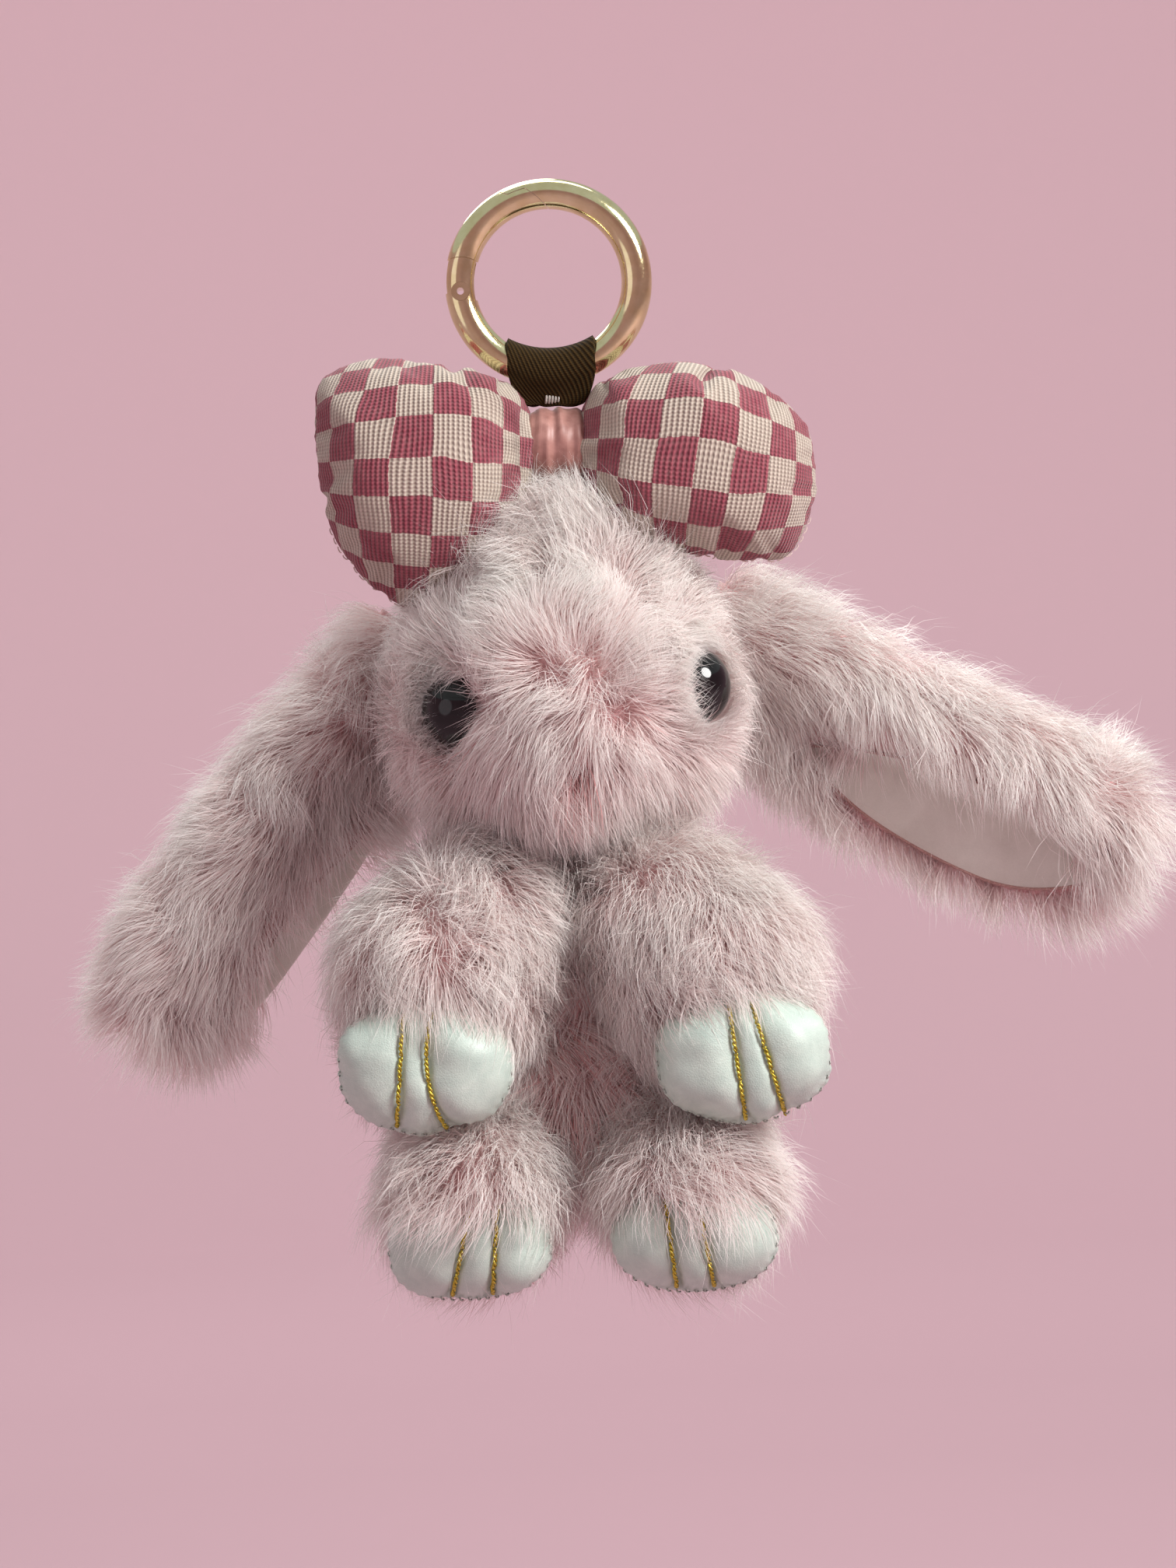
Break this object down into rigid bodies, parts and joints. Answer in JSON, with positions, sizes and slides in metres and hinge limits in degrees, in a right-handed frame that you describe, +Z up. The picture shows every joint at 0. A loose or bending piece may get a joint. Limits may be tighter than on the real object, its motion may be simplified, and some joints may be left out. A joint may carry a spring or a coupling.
{
  "type": "plush keychain",
  "caption": "Fluffy long-eared bunny charm with a padded checked bow, hung by a webbing loop from a spring-gate ring.",
  "frame": {"origin": "the point the ring hangs from: the inside of its top, in the ring's plane", "axes": "+Z up along the hanging charm, front of the bunny towards -Y, +X to the right as seen from the front; the ring lies in the XZ plane"},
  "size_m": [0.1818, 0.0624, 0.1857],
  "materials": {
    "ring_gold": "polished",
    "spring_steel": "satin",
    "webbing": "matte",
    "bartack_thread": "matte",
    "satin": "satin",
    "bow_fabric": "matte",
    "fibre_fill": "matte",
    "fur": "matte",
    "eye_plastic": "gloss",
    "washer_plastic": "matte",
    "ear_lining": "satin",
    "paw_leather": "satin",
    "gold_thread": "satin",
    "stitch_thread": "matte"
  },
  "bodies": {
    "ring": {"ring_body": "ring_gold", "gate_rivet": "ring_gold", "gate_spring": "spring_steel", "gate_plunger": "spring_steel"},
    "gate": {"ring_gate": "ring_gold"},
    "strap": {"webbing_loop": "webbing", "webbing_bartack": "bartack_thread"},
    "head": {"satin_band": "satin", "bow_waist": "bow_fabric", "bow_left_cover": "bow_fabric", "bow_left_stuffing": "fibre_fill", "bow_right_cover": "bow_fabric", "bow_right_stuffing": "fibre_fill", "head_cover": "fur", "head_stuffing": "fibre_fill", "eye_left": "eye_plastic", "eye_right": "eye_plastic", "eye_left_washer": "washer_plastic", "eye_right_washer": "washer_plastic"},
    "ear_left": {"ear_left_fur": "fur", "ear_left_lining": "ear_lining"},
    "ear_right": {"ear_right_fur": "fur", "ear_right_lining": "ear_lining"},
    "torso": {"body_cover": "fur", "body_stuffing": "fibre_fill"},
    "front_left_leg": {"front_left_cover": "fur", "front_left_stuffing": "fibre_fill", "front_left_paw": "paw_leather", "front_left_claws": "gold_thread", "front_left_stitches": "stitch_thread"},
    "front_right_leg": {"front_right_cover": "fur", "front_right_stuffing": "fibre_fill", "front_right_paw": "paw_leather", "front_right_claws": "gold_thread", "front_right_stitches": "stitch_thread"},
    "hind_left_leg": {"hind_left_cover": "fur", "hind_left_stuffing": "fibre_fill", "hind_left_paw": "paw_leather", "hind_left_claws": "gold_thread", "hind_left_stitches": "stitch_thread"},
    "hind_right_leg": {"hind_right_cover": "fur", "hind_right_stuffing": "fibre_fill", "hind_right_paw": "paw_leather", "hind_right_claws": "gold_thread", "hind_right_stitches": "stitch_thread"}
  },
  "joints": [
    {"name": "gate_hinge", "type": "hinge", "parent": "ring", "child": "gate", "pos_m": [-0.01495, 0, -0.0136], "axis": [0, 1, 0], "range_deg": [0, 35], "stiffness_Nm_per_rad": 0.004, "springref_deg": -28.65},
    {"name": "strap_slide", "type": "hinge", "parent": "ring", "child": "strap", "pos_m": [0, 0, -0.0124], "axis": [0, 1, 0], "range_deg": [-36, 36]},
    {"name": "strap_fold", "type": "hinge", "parent": "strap", "child": "head", "pos_m": [0, 0, -0.0333], "axis": [1, 0, 0], "range_deg": [-20, 20]},
    {"name": "ear_left_swing", "type": "hinge", "parent": "head", "child": "ear_left", "pos_m": [-0.025, 0.016, -0.074], "axis": [0, 1, 0], "range_deg": [-8, 45], "stiffness_Nm_per_rad": 0.006},
    {"name": "ear_right_swing", "type": "hinge", "parent": "head", "child": "ear_right", "pos_m": [0.025, 0.016, -0.074], "axis": [0, -1, 0], "range_deg": [-32, 40], "stiffness_Nm_per_rad": 0.006},
    {"name": "neck_nod", "type": "hinge", "parent": "head", "child": "torso", "pos_m": [0, 0.005, -0.105], "axis": [-1, 0, 0], "range_deg": [-5, 5], "stiffness_Nm_per_rad": 0.02},
    {"name": "front_left_lift", "type": "hinge", "parent": "torso", "child": "front_left_leg", "pos_m": [-0.0163, -0.011, -0.1205], "axis": [-1, 0, 0], "range_deg": [0, 40], "stiffness_Nm_per_rad": 0.004},
    {"name": "hind_left_lift", "type": "hinge", "parent": "torso", "child": "hind_left_leg", "pos_m": [-0.0154, 0.004, -0.158], "axis": [-1, 0, 0], "range_deg": [-15, 8], "stiffness_Nm_per_rad": 0.004},
    {"name": "front_right_lift", "type": "hinge", "parent": "torso", "child": "front_right_leg", "pos_m": [0.0163, -0.011, -0.1205], "axis": [-1, 0, 0], "range_deg": [0, 40], "stiffness_Nm_per_rad": 0.004},
    {"name": "hind_right_lift", "type": "hinge", "parent": "torso", "child": "hind_right_leg", "pos_m": [0.0154, 0.004, -0.158], "axis": [-1, 0, 0], "range_deg": [-15, 8], "stiffness_Nm_per_rad": 0.004}
  ]
}
